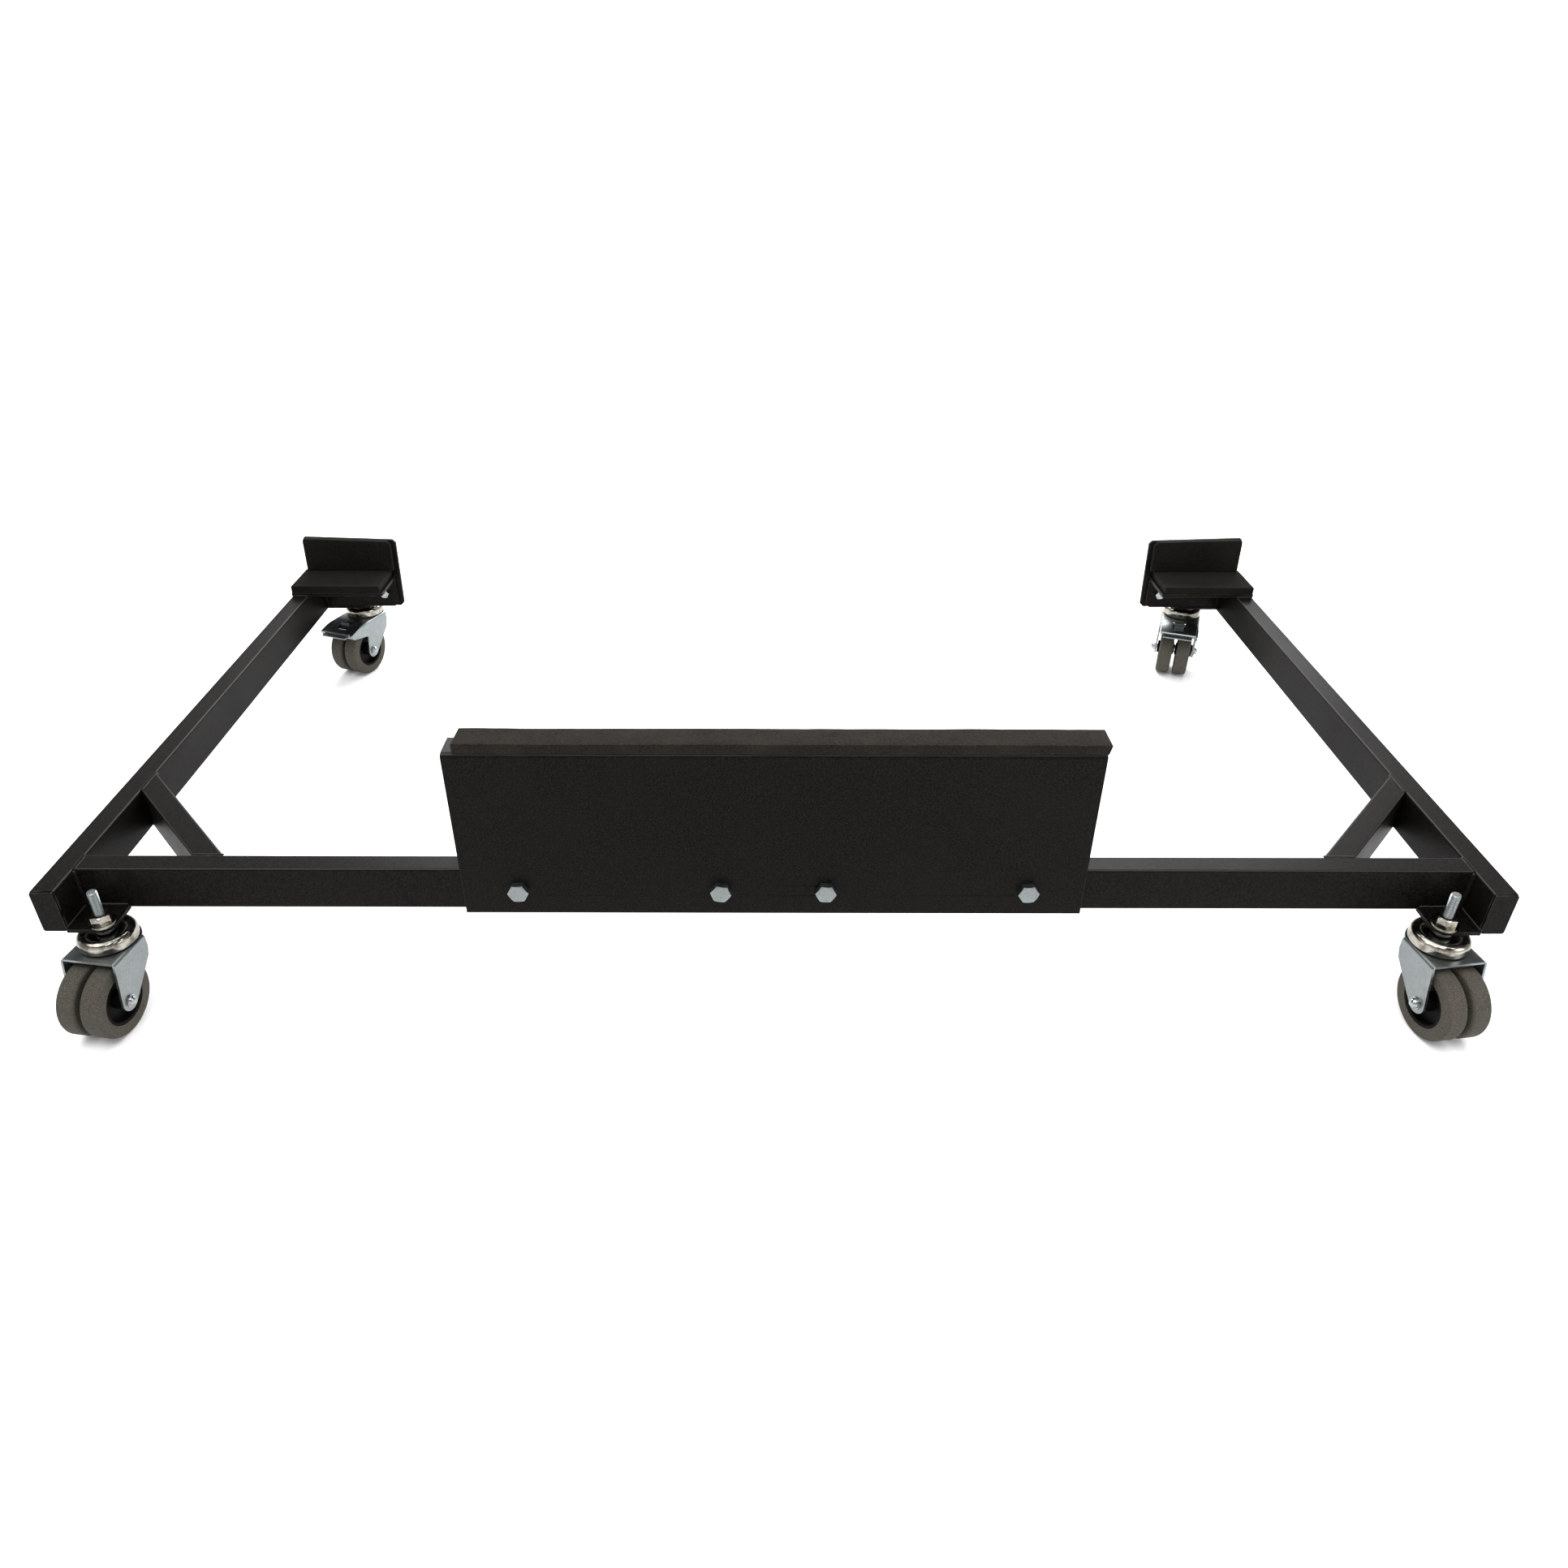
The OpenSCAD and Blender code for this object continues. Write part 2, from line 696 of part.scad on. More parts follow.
// Moulded wheel centre: boss, thin web and the rim under the tyre
module hub(id, wheel) {
    boss_bore = axle_r + axle_fit;
    color(hub_black) at_wheel(id, wheel) {
        translate([boss_bore, hub_in]) square([hub_boss_r - boss_bore, hub_out - hub_in]);
        translate([hub_boss_r - small, hub_web[0]])
            square([tyre_inner_r - hub_rim_t - hub_boss_r + 2 * small, hub_web[1] - hub_web[0]]);
        translate([tyre_inner_r - hub_rim_t, hub_rim_in]) square([hub_rim_t, hub_rim_out - hub_rim_in]);
    }
}

module tyre(id, wheel) {
    width = tyre_out - tyre_in;
    color(tyre_grey) at_wheel(id, wheel) {
        translate([tyre_inner_r, tyre_in]) square([wheel_r - tyre_inner_r - tyre_round, width]);
        translate([wheel_r - tyre_round - small, tyre_in + tyre_round])
            square([tyre_round + small, width - 2 * tyre_round]);
        for (x = [tyre_in + tyre_round, tyre_out - tyre_round])
            translate([wheel_r - tyre_round, x]) circle(r = tyre_round);
    }
}

// ---------- brake of a rear castor ----------

// Pressed pedal plate in side view, from the fork's top plate to its upturned lip
module pedal_side() {
    last = len(pedal_top) - 1;
    polygon(concat(
        pedal_top, pedal_lip, [for (i = [last - 1 : -1 : 0]) pedal_top[i] - [0, pedal_t]]
    ));
}

module brake_pedal(id) {
    color(zinc) at_castor(id) difference() {
        union() {
            across(pedal_w) pedal_side();
            across(lower_lip_w) polygon(lower_lip);
            across(shoe_w) polygon(shoe);
            for (side = [-1, 1]) translate([side * (pedal_w - pedal_t) / 2, 0, 0])
                across(pedal_t) polygon(cheek);
        }
        translate([-pedal_w, -brake_pivot[0], brake_pivot[1]]) along_x()
            cylinder(h = 2 * pedal_w, r = pin_r + pin_fit);
        // Window over the leaf spring
        translate([-window_w / 2, -window_y[1], window_z[0]])
            cube([window_w, window_y[1] - window_y[0], window_z[1] - window_z[0]]);
    }
}

module brake_pin(id) {
    color(zinc) at_castor(id) translate([-fork_w / 2, -brake_pivot[0], brake_pivot[1]]) along_x()
        cylinder(h = fork_w, r = pin_r);
}

// Leaf spring under the fork's top plate, with a raised tab that shows in the pedal's window
module brake_spring(id) {
    top = fork_top - sheet_t - spring_drop;
    end_z = top - spring_fall;
    color(zinc) at_castor(id) across(spring_w) polygon([
        [spring_start, top - spring_t], [spring_start, top], [spring_tab - spring_t, top],
        [spring_tab - spring_t, top + spring_rise], [spring_tab, top + spring_rise],
        [spring_tab, top], [spring_end, end_z], [spring_end, end_z - spring_t],
        [spring_tab, top - spring_t]
    ]);
}

// ---------- the nodes ----------

side_arm(LEFT);  // side_arm_left
side_arm(RIGHT);  // side_arm_right
crossbar();
brace(LEFT);  // brace_left
brace(RIGHT);  // brace_right
arm_end_plates();
castor_plate_front(LEFT);  // castor_plate_front_left
castor_plate_front(RIGHT);  // castor_plate_front_right
castor_plate_rear(LEFT);  // castor_plate_rear_left
castor_plate_rear(RIGHT);  // castor_plate_rear_right
front_bracket();
front_bracket_foam();
front_bracket_bolts();
front_bracket_nuts();
rear_angle(LEFT);  // rear_angle_left
rear_angle(RIGHT);  // rear_angle_right
rear_back_plate(LEFT);  // rear_back_plate_left
rear_back_plate(RIGHT);  // rear_back_plate_right
rear_shelf_foam(LEFT);  // rear_shelf_foam_left
rear_shelf_foam(RIGHT);  // rear_shelf_foam_right
rear_back_foam(LEFT);  // rear_back_foam_left
rear_back_foam(RIGHT);  // rear_back_foam_right
rear_bracket_bolts();
rear_bracket_nuts();
castor_stems();
castor_stem_nuts();
castor_caps();
castor_balls();
fork(FRONT_LEFT);  // fork_front_left
fork(FRONT_RIGHT);  // fork_front_right
fork(REAR_LEFT);  // fork_rear_left
fork(REAR_RIGHT);  // fork_rear_right
axle(FRONT_LEFT);  // axle_front_left
axle(FRONT_RIGHT);  // axle_front_right
axle(REAR_LEFT);  // axle_rear_left
axle(REAR_RIGHT);  // axle_rear_right
hub(FRONT_LEFT, WHEEL_A);  // hub_front_left_a
hub(FRONT_LEFT, WHEEL_B);  // hub_front_left_b
hub(FRONT_RIGHT, WHEEL_A);  // hub_front_right_a
hub(FRONT_RIGHT, WHEEL_B);  // hub_front_right_b
hub(REAR_LEFT, WHEEL_A);  // hub_rear_left_a
hub(REAR_LEFT, WHEEL_B);  // hub_rear_left_b
hub(REAR_RIGHT, WHEEL_A);  // hub_rear_right_a
hub(REAR_RIGHT, WHEEL_B);  // hub_rear_right_b
tyre(FRONT_LEFT, WHEEL_A);  // tyre_front_left_a
tyre(FRONT_LEFT, WHEEL_B);  // tyre_front_left_b
tyre(FRONT_RIGHT, WHEEL_A);  // tyre_front_right_a
tyre(FRONT_RIGHT, WHEEL_B);  // tyre_front_right_b
tyre(REAR_LEFT, WHEEL_A);  // tyre_rear_left_a
tyre(REAR_LEFT, WHEEL_B);  // tyre_rear_left_b
tyre(REAR_RIGHT, WHEEL_A);  // tyre_rear_right_a
tyre(REAR_RIGHT, WHEEL_B);  // tyre_rear_right_b
brake_pedal(REAR_LEFT);  // brake_pedal_left
brake_pedal(REAR_RIGHT);  // brake_pedal_right
brake_pin(REAR_LEFT);  // brake_pin_left
brake_pin(REAR_RIGHT);  // brake_pin_right
brake_spring(REAR_LEFT);  // brake_spring_left
brake_spring(REAR_RIGHT);  // brake_spring_right
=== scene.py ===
import json
import math

import bmesh
import bpy
from mathutils import Matrix, Vector, noise


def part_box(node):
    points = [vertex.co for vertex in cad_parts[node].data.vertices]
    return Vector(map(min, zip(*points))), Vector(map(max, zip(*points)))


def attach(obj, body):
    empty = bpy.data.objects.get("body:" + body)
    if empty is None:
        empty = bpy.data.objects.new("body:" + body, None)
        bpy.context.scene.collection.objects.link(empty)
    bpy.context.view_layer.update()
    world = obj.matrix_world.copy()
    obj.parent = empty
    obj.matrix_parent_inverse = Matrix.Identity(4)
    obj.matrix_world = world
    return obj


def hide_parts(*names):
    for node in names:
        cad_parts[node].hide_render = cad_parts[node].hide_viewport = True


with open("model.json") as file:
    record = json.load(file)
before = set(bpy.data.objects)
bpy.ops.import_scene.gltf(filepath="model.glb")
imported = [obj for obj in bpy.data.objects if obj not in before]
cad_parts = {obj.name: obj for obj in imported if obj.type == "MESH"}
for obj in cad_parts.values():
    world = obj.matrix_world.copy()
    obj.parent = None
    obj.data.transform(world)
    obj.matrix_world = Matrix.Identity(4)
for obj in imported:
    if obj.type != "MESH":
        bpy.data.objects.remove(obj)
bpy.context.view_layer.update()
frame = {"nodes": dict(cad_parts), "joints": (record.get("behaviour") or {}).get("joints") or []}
NODES = frame["nodes"]
MM = 0.001
LEFT, RIGHT = -1, 1
SIDES = {"left": LEFT, "right": RIGHT}
CASTORS = ("front_left", "front_right", "rear_left", "rear_right")


# ---------- camera, light and floor ----------


def make_camera():
    """Looks down on the dolly from the front, a little above the height of a table."""
    data = bpy.data.cameras.new("camera")
    data.sensor_width = 36.0
    data.lens = 26.07
    data.shift_x = 0.0106
    data.shift_y = -0.0138
    camera = bpy.data.objects.new("camera", data)
    eye = (-0.0051, -1.2883, 0.8616)
    down, yaw, roll = (math.radians(a) for a in (31.674, 0.071, 0.066))
    turn = (
        Matrix.Rotation(yaw, 4, "Z")
        @ Matrix.Rotation(math.pi / 2 - down, 4, "X")
        @ Matrix.Rotation(roll, 4, "Z")
    )
    camera.matrix_world = Matrix.Translation(eye) @ turn
    bpy.context.scene.collection.objects.link(camera)
    bpy.context.scene.camera = camera


def sun_light(name, towards, strength, spread):
    """Distant light, as soft as its spread in degrees is wide."""
    data = bpy.data.lights.new(name, "SUN")
    data.energy = strength
    data.angle = math.radians(spread)
    light = bpy.data.objects.new(name, data)
    light.rotation_mode = "QUATERNION"
    light.rotation_quaternion = Vector(towards).to_track_quat("-Z", "Y")
    bpy.context.scene.collection.objects.link(light)


def area_light(name, place, target, size, power):
    """Rectangular light that faces its target. Sizes are in metres and the power in watts."""
    data = bpy.data.lights.new(name, "AREA")
    data.shape = "RECTANGLE"
    data.size, data.size_y = size
    data.energy = power
    light = bpy.data.objects.new(name, data)
    light.location = place
    light.rotation_mode = "QUATERNION"
    light.rotation_quaternion = (Vector(target) - Vector(place)).to_track_quat("-Z", "Y")
    bpy.context.scene.collection.objects.link(light)


def make_lights():
    """Soft daylight, a wide light behind, a small one on the right, and overhead panels to reflect."""
    sun_light("daylight", (0.25, 0.1, -1.0), strength=2.3, spread=60)
    area_light("rear", (0.3, 3.4, 2.3), target=(0, 0.1, 0.1), size=(4.5, 1.4), power=260)
    area_light("right", (2.6, -1.6, 1.5), target=(0.3, 0, 0.1), size=(1.2, 1.2), power=22)
    panel_height, panel_size, panel_power = 2.1, (0.35, 0.9), 7
    front_panels = [(-1.3, -0.9), (-0.3, -1.5), (0.6, -1.3), (1.5, -0.8)]
    rear_panels = [(-0.7, 1.0), (1.0, 1.2)]
    for x, y in front_panels + rear_panels:
        below = (x * 0.6, y * 0.4, 0)
        area_light("panel", (x, y, panel_height), below, panel_size, panel_power)


def make_world():
    """White up to about 25 degrees above the horizon and grey overhead, to give plated parts contrast."""
    world = bpy.data.worlds.new("studio")
    world.use_nodes = True
    bpy.context.scene.world = world
    tree = world.node_tree
    direction = tree.nodes.new("ShaderNodeTexCoord")
    split = tree.nodes.new("ShaderNodeSeparateXYZ")
    ramp = tree.nodes.new("ShaderNodeValToRGB")
    tree.links.new(direction.outputs["Generated"], split.inputs["Vector"])
    tree.links.new(split.outputs["Z"], ramp.inputs["Fac"])
    tree.links.new(ramp.outputs["Color"], tree.nodes["Background"].inputs["Color"])
    # Each is how far up a direction points, as its sine, and the grey there
    horizon, overhead = (0.42, 1.05), (0.60, 0.16)
    for element, (position, grey) in zip(ramp.color_ramp.elements, (horizon, overhead)):
        element.position = position
        element.color = (grey, grey, grey, 1.0)


def make_floor():
    """Plain pale floor without gloss, wide enough to fill every view."""
    reach = 12.0
    pale = (0.93, 0.93, 0.93, 1.0)
    mesh = bpy.data.meshes.new("floor")
    corners = [(-reach, -reach, 0), (reach, -reach, 0), (reach, reach, 0), (-reach, reach, 0)]
    mesh.from_pydata(corners, [], [(0, 1, 2, 3)])
    floor = bpy.data.objects.new("floor", mesh)
    material = bpy.data.materials.new("floor")
    material.use_nodes = True
    bsdf = material.node_tree.nodes["Principled BSDF"]
    bsdf.inputs["Base Color"].default_value = pale
    bsdf.inputs["Roughness"].default_value = 1.0
    bsdf.inputs["Specular IOR Level"].default_value = 0.0
    mesh.materials.append(material)
    bpy.context.scene.collection.objects.link(floor)


# ---------- materials ----------

# Places of the colour sockets on a Mix node, which has sockets for every data type
MIX_COLOUR_A, MIX_COLOUR_B, RESULT_COLOUR = 6, 7, 2


class Shader:
    """A material's node tree, with short calls for the nodes that the materials share."""

    def __init__(self, name, metallic=0.0, specular=0.5):
        self.material = bpy.data.materials.new(name)
        self.material.use_nodes = True
        self.tree = self.material.node_tree
        self.bsdf = self.tree.nodes["Principled BSDF"]
        self.bsdf.inputs["Metallic"].default_value = metallic
        self.bsdf.inputs["Specular IOR Level"].default_value = specular
        self.point = self.add("ShaderNodeTexCoord").outputs["Object"]

    def add(self, kind, settings=(), **inputs):
        """New node with its own settings, and a number or a link for each named input."""
        node = self.tree.nodes.new(kind)
        for key, value in dict(settings).items():
            setattr(node, key, value)
        for key, value in inputs.items():
            self.put(value, node.inputs[key.replace("_", " ")])
        return node

    def put(self, value, socket):
        """Links an output to the socket, or sets the socket to a constant."""
        if isinstance(value, bpy.types.NodeSocket):
            self.tree.links.new(value, socket)
        else:
            socket.default_value = value

    def noise(self, scale, detail=2.0, rough=0.5):
        """Noise with a feature size of about 1 / scale metres."""
        made = self.add(
            "ShaderNodeTexNoise", Vector=self.point, Scale=scale, Detail=detail, Roughness=rough
        )
        return made.outputs["Fac"]

    def cells(self, scale):
        """Distance from the middles of random cells, for pits about 1 / scale metres apart."""
        return self.add("ShaderNodeTexVoronoi", Vector=self.point, Scale=scale).outputs["Distance"]

    def spread(self, value, low, high, start=0.0, end=1.0):
        """Maps value from low..high to start..end, and holds it at the ends."""
        node = self.add("ShaderNodeMapRange", Value=value)
        for key, number in (("From Min", low), ("From Max", high), ("To Min", start), ("To Max", end)):
            node.inputs[key].default_value = number
        return node.outputs["Result"]

    def maths(self, operation, a, b=0.0):
        node = self.add("ShaderNodeMath", {"operation": operation})
        self.put(a, node.inputs[0])
        self.put(b, node.inputs[1])
        return node.outputs["Value"]

    def mix(self, share, a, b):
        """Colour a where share is 0, b where it is 1."""
        node = self.add("ShaderNodeMix", {"data_type": "RGBA"})
        self.put(share, node.inputs["Factor"])
        for colour, key in ((a, MIX_COLOUR_A), (b, MIX_COLOUR_B)):
            value = (*colour, 1.0) if isinstance(colour, tuple) else colour
            self.put(value, node.inputs[key])
        return node.outputs[RESULT_COLOUR]

    def edges(self, radius):
        """1 near a sharp edge, 0 on flat faces, from how far a bevel would turn the normal."""
        bevel = self.add("ShaderNodeBevel", {"samples": 4}, Radius=radius)
        plain = self.add("ShaderNodeNewGeometry").outputs["Normal"]
        dot = self.add("ShaderNodeVectorMath", {"operation": "DOT_PRODUCT"})
        self.put(bevel.outputs["Normal"], dot.inputs[0])
        self.put(plain, dot.inputs[1])
        return self.spread(dot.outputs["Value"], 0.995, 0.80)

    def upper_bend_highlight(self):
        """Painted highlight: up to 0.35 along the upper part of rounded edges and welds; 0 on flats."""
        normal = self.add("ShaderNodeNewGeometry").outputs["Normal"]
        up = self.add("ShaderNodeSeparateXYZ", Vector=normal).outputs["Z"]
        above = self.spread(up, 0.62, 0.80, 0.0, 0.35)
        below = self.spread(up, 0.90, 0.98, 1.0, 0.0)
        return self.maths("MULTIPLY", above, below)

    def bump(self, height, distance):
        """Normal of a surface that a height from 0 to 1 lifts by up to distance, in metres."""
        node = self.add("ShaderNodeBump", Strength=1.0, Distance=distance, Height=height)
        return node.outputs["Normal"]

    def finish(self, colour, roughness, normal):
        self.put(colour, self.bsdf.inputs["Base Color"])
        self.put(roughness, self.bsdf.inputs["Roughness"])
        self.put(normal, self.bsdf.inputs["Normal"])
        return self.material


def powder_coat():
    """Semi-matt black coat with a fine texture, rubbed along edges, and with a painted highlight along the
    upper part of rounded edges and welds.
    """
    pit, peak = (0.0004, 0.0004, 0.0003), (0.0092, 0.0083, 0.0070)
    dust, wear_and_highlight_grey = (0.0062, 0.0057, 0.0050), (0.085, 0.080, 0.076)
    s = Shader("powder_coat", specular=0.035)
    grain = s.noise(1700, 2.0)
    speckle = s.noise(560, 4.0, rough=0.8)
    patches = s.noise(11, 3.0)
    s.bsdf.inputs["Coat Weight"].default_value = 0.05
    s.bsdf.inputs["Coat Roughness"].default_value = 0.24
    colour = s.mix(s.spread(speckle, 0.42, 0.64), pit, peak)
    dusty = s.mix(s.spread(patches, 0.45, 0.75, 0.0, 0.35), colour, dust)
    rubbed = s.maths("MULTIPLY", s.edges(0.0009), s.spread(s.noise(70, 4.0), 0.38, 0.58))
    # Lighter along rubbed edges, which is wear, and along the upper part of rounded edges and welds, which
    # is a painted highlight.
    light_edged = s.mix(s.maths("MAXIMUM", rubbed, s.upper_bend_highlight()), dusty, wear_and_highlight_grey)
    roughness = s.spread(s.maths("ADD", speckle, patches), 0.7, 1.3, 0.40, 0.54)
    height = s.maths("ADD", s.maths("MULTIPLY", grain, 0.6), speckle)
    return s.finish(light_edged, roughness, s.bump(height, 0.00013))


def zinc(name, dark, light, rough):
    """Zinc plating: slightly blue, with cloudy patches, flecks and fine grain."""
    tinge, rubbed = (0.245, 0.262, 0.250), (0.52, 0.55, 0.57)
    s = Shader(name, metallic=1.0)
    clouds = s.noise(85, 4.0, rough=0.6)
    grain = s.noise(1300, 2.0)
    tint = s.mix(s.spread(s.noise(40, 2.0), 0.45, 0.70, 0.0, 0.5), light, tinge)
    flecks = s.spread(s.noise(520, 3.0, rough=0.7), 0.38, 0.62, 0.0, 0.45)
    colour = s.mix(s.maths("ADD", s.spread(clouds, 0.25, 0.75, 0.0, 0.55), flecks), dark, tint)
    light_edged = s.mix(s.maths("MULTIPLY", s.edges(0.0006), 0.6), colour, rubbed)
    roughness = s.spread(s.maths("ADD", clouds, grain), 0.7, 1.3, *rough)
    return s.finish(light_edged, roughness, s.bump(grain, 0.00002))


def nickel():
    """Polished plated steel with a warm tone, dulled in blotches by handling."""
    smeared, clean, pitted = (0.130, 0.121, 0.104), (0.36, 0.34, 0.295), (0.15, 0.14, 0.12)
    s = Shader("nickel", metallic=1.0)
    smear = s.noise(95, 3.0, rough=0.55)
    pits = s.noise(900, 2.0)
    colour = s.mix(s.spread(smear, 0.40, 0.62), smeared, clean)
    dull = s.mix(s.spread(pits, 0.60, 0.75, 0.0, 0.5), colour, pitted)
    return s.finish(dull, s.spread(smear, 0.35, 0.75, 0.10, 0.22), s.bump(pits, 0.00001))


def tyre_rubber():
    """Warm grey non-marking tyre with a fine grain and dust rubbed into it."""
    dark, light, dust = (0.012, 0.0108, 0.0084), (0.087, 0.079, 0.063), (0.070, 0.063, 0.052)
    s = Shader("tyre_rubber", specular=0.25)
    grain = s.noise(1100, 3.0, rough=0.7)
    patches = s.noise(45, 5.0, rough=0.6)
    colour = s.mix(s.spread(grain, 0.35, 0.65), dark, light)
    dusty = s.mix(s.spread(patches, 0.45, 0.70, 0.0, 0.4), colour, dust)
    return s.finish(dusty, s.spread(patches, 0.3, 0.7, 0.72, 0.88), s.bump(grain, 0.00012))


def hub_plastic():
    """Black moulded plastic, slightly glossy in places."""
    dark, light = (0.0018, 0.0016, 0.0015), (0.0060, 0.0055, 0.0050)
    s = Shader("hub_plastic", specular=0.04)
    grain = s.noise(900, 3.0)
    colour = s.mix(s.spread(grain, 0.4, 0.65), dark, light)
    roughness = s.spread(s.noise(60, 3.0), 0.3, 0.7, 0.34, 0.52)
    return s.finish(colour, roughness, s.bump(grain, 0.00005))


def sponge_foam(name, depth, face):
    """Closed-cell foam: very matt, finely pitted, mottled between the colours of its pits and face."""
    dust = tuple(1.3 * c for c in face)
    s = Shader(name, specular=0.05)
    pits = s.cells(900)
    grain = s.noise(520, 4.0, rough=0.8)
    patches = s.noise(26, 4.0, rough=0.6)
    colour = s.mix(s.spread(grain, 0.35, 0.68), depth, face)
    dusty = s.mix(s.spread(patches, 0.42, 0.70, 0.0, 0.4), colour, dust)
    s.bsdf.inputs["Sheen Weight"].default_value = 0.02
    s.bsdf.inputs["Sheen Roughness"].default_value = 0.6
    height = s.maths("ADD", s.maths("MULTIPLY", pits, 0.8), grain)
    return s.finish(dusty, 0.94, s.bump(height, 0.0002))


def dress(materials):
    """Gives every CAD node its finish, by its packed slot. Axles and the back plates' bolts shine more."""
    for node in NODES.values():
        slot = node.data.materials[0].name
        if node.name.startswith(("axle_", "rear_bracket_bolts")):
            slot = "bright_zinc"
        node.data.materials.clear()
        node.data.materials.append(materials[slot])


# ---------- softened edges on CAD nodes ----------


def clean_group():
    """Joins the faces of an imported CAD mesh and makes it smooth, before its edges are bevelled."""
    group = bpy.data.node_groups.new("clean_cad", "GeometryNodeTree")
    for way in ("INPUT", "OUTPUT"):
        group.interface.new_socket("Geometry", in_out=way, socket_type="NodeSocketGeometry")
    start = group.nodes.new("NodeGroupInput")
    plain = group.nodes.new("GeometryNodeRemoveAttribute")
    plain.inputs["Name"].default_value = "custom_normal"
    merge = group.nodes.new("GeometryNodeMergeByDistance")
    merge.inputs["Distance"].default_value = 0.005 * MM
    smooth = group.nodes.new("GeometryNodeSetShadeSmooth")
    end = group.nodes.new("NodeGroupOutput")
    chain = [start, plain, merge, smooth, end]
    for a, b in zip(chain, chain[1:]):
        group.links.new(a.outputs[0], b.inputs[0])
    return group


def soften(names, width, group):
    """Rounds the sharp edges of some CAD nodes by modifiers, which leave their meshes as they are."""
    for name in names:
        node = NODES[name]
        node.modifiers.new("clean", "NODES").node_group = group
        bevel = node.modifiers.new("bevel", "BEVEL")
        bevel.width = width
        bevel.segments = 2
        bevel.limit_method = "ANGLE"
        bevel.angle_limit = math.radians(35)
        bevel.use_clamp_overlap = True
        normals = node.modifiers.new("normals", "WEIGHTED_NORMAL")
        normals.mode = "FACE_AREA"
        normals.weight = 80


def soften_edges():
    """Each node's edge radius fits its making: bent plates rounder than bolts and pressed sheet."""
    group = clean_group()
    plates = ["front_bracket"]
    for side in SIDES:
        plates += [f"rear_angle_{side}", f"rear_back_plate_{side}"]
        plates += [f"castor_plate_front_{side}", f"castor_plate_rear_{side}"]
    soften(plates, 0.5 * MM, group)
    soften(["arm_end_plates"], 0.4 * MM, group)
    small = ["front_bracket_bolts", "rear_bracket_bolts", "front_bracket_nuts"]
    small += [f"fork_{castor}" for castor in CASTORS]
    small += [f"brake_pedal_{side}" for side in SIDES]
    soften(small, 0.3 * MM, group)


# ---------- meshes ----------


def make_piece(name, bm, material, smooth=True):
    """Makes a piece of the dolly's frame from a bmesh."""
    mesh = bpy.data.meshes.new(name)
    bmesh.ops.recalc_face_normals(bm, faces=bm.faces)
    bm.to_mesh(mesh)
    bm.free()
    mesh.polygons.foreach_set("use_smooth", [smooth] * len(mesh.polygons))
    mesh.materials.append(material)
    piece = bpy.data.objects.new(name, mesh)
    bpy.context.scene.collection.objects.link(piece)
    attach(piece, "root")
    return piece


def stations(length, round_r, step):
    """Distances along a side: close together where an edge is rounded, even in between."""
    edge = [0.0, 0.3 * round_r, 0.65 * round_r, round_r]
    count = max(1, round((length - 2 * round_r) / step))
    middle = [round_r + (length - 2 * round_r) * i / count for i in range(1, count)]
    return edge + middle + [length - d for d in reversed(edge)]


def block(size, round_r, step):
    """Closed box with its faces divided and its edges rounded, from the origin to size."""
    cuts = [stations(length, round_r, step) for length in size]
    bm = bmesh.new()
    made = {}

    def vertex(key):
        if key not in made:
            made[key] = bm.verts.new([cuts[axis][key[axis]] for axis in range(3)])
        return made[key]

    for axis in range(3):
        u, v = (axis + 1) % 3, (axis + 2) % 3
        for end in (0, len(cuts[axis]) - 1):
            for i in range(len(cuts[u]) - 1):
                for j in range(len(cuts[v]) - 1):
                    keys = []
                    for a, b in ((0, 0), (1, 0), (1, 1), (0, 1)):
                        key = [0, 0, 0]
                        key[axis], key[u], key[v] = end, i + a, j + b
                        keys.append(tuple(key))
                    bm.faces.new([vertex(key) for key in keys])
    for vert in bm.verts:
        inner = Vector([min(max(c, round_r), length - round_r) for c, length in zip(vert.co, size)])
        away = vert.co - inner
        if away.length > 1e-9:
            vert.co = inner + away.normalized() * round_r
    return bm


def wobble(point, scale, seed):
    """Smooth noise from -1 to 1, with a feature size of about 1 / scale metres."""
    return noise.noise(Vector(point) * scale + Vector((seed * 7.3, seed * 3.1, seed * 5.7)))


def place(bm, corner=(0, 0, 0), mirrored=False):
    """Moves a piece drawn from the origin to its corner, and mirrors it if it is on the left."""
    for vert in bm.verts:
        vert.co = Vector(corner) + vert.co
        if mirrored:
            vert.co.x = -vert.co.x
    if mirrored:
        bmesh.ops.reverse_faces(bm, faces=bm.faces)


# ---------- foam ----------


def front_foam(material):
    """Strip cut by hand from a sheet: slightly wavy on top, its right end cut at a slant."""
    low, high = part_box("front_bracket_foam")
    size = high - low
    top_drop, long_wave, short_wave = 0.6 * MM, 0.5 * MM, 0.25 * MM
    face_lean, face_wave = 0.8 * MM, 0.45 * MM
    slant, left_inset, left_skew = 2.5 * MM, 0.5 * MM, 0.8 * MM
    end_share = 0.03
    bm = block(size, 1.0 * MM, 5 * MM)
    for vert in bm.verts:
        x, y, z = vert.co
        along, back, up = x / size.x, y / size.y, z / size.z
        wave = long_wave * wobble((x, 0, 0), 12, 1) + short_wave * wobble((x, y, 0), 60, 2)
        vert.co.z -= up * (top_drop - wave)
        vert.co.y += (0.5 - back) * face_lean + face_wave * wobble((x, 0, z), 25, 3)
        right_end = max(0.0, 1.0 - (1.0 - along) / end_share)
        left_end = max(0.0, 1.0 - along / end_share)
        vert.co.x -= right_end * (1.0 - up) * slant
        vert.co.x += left_end * (left_skew * back + left_inset)
    place(bm, low)
    pad = make_piece("foam_strip", bm, material)
    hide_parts("front_bracket_foam")


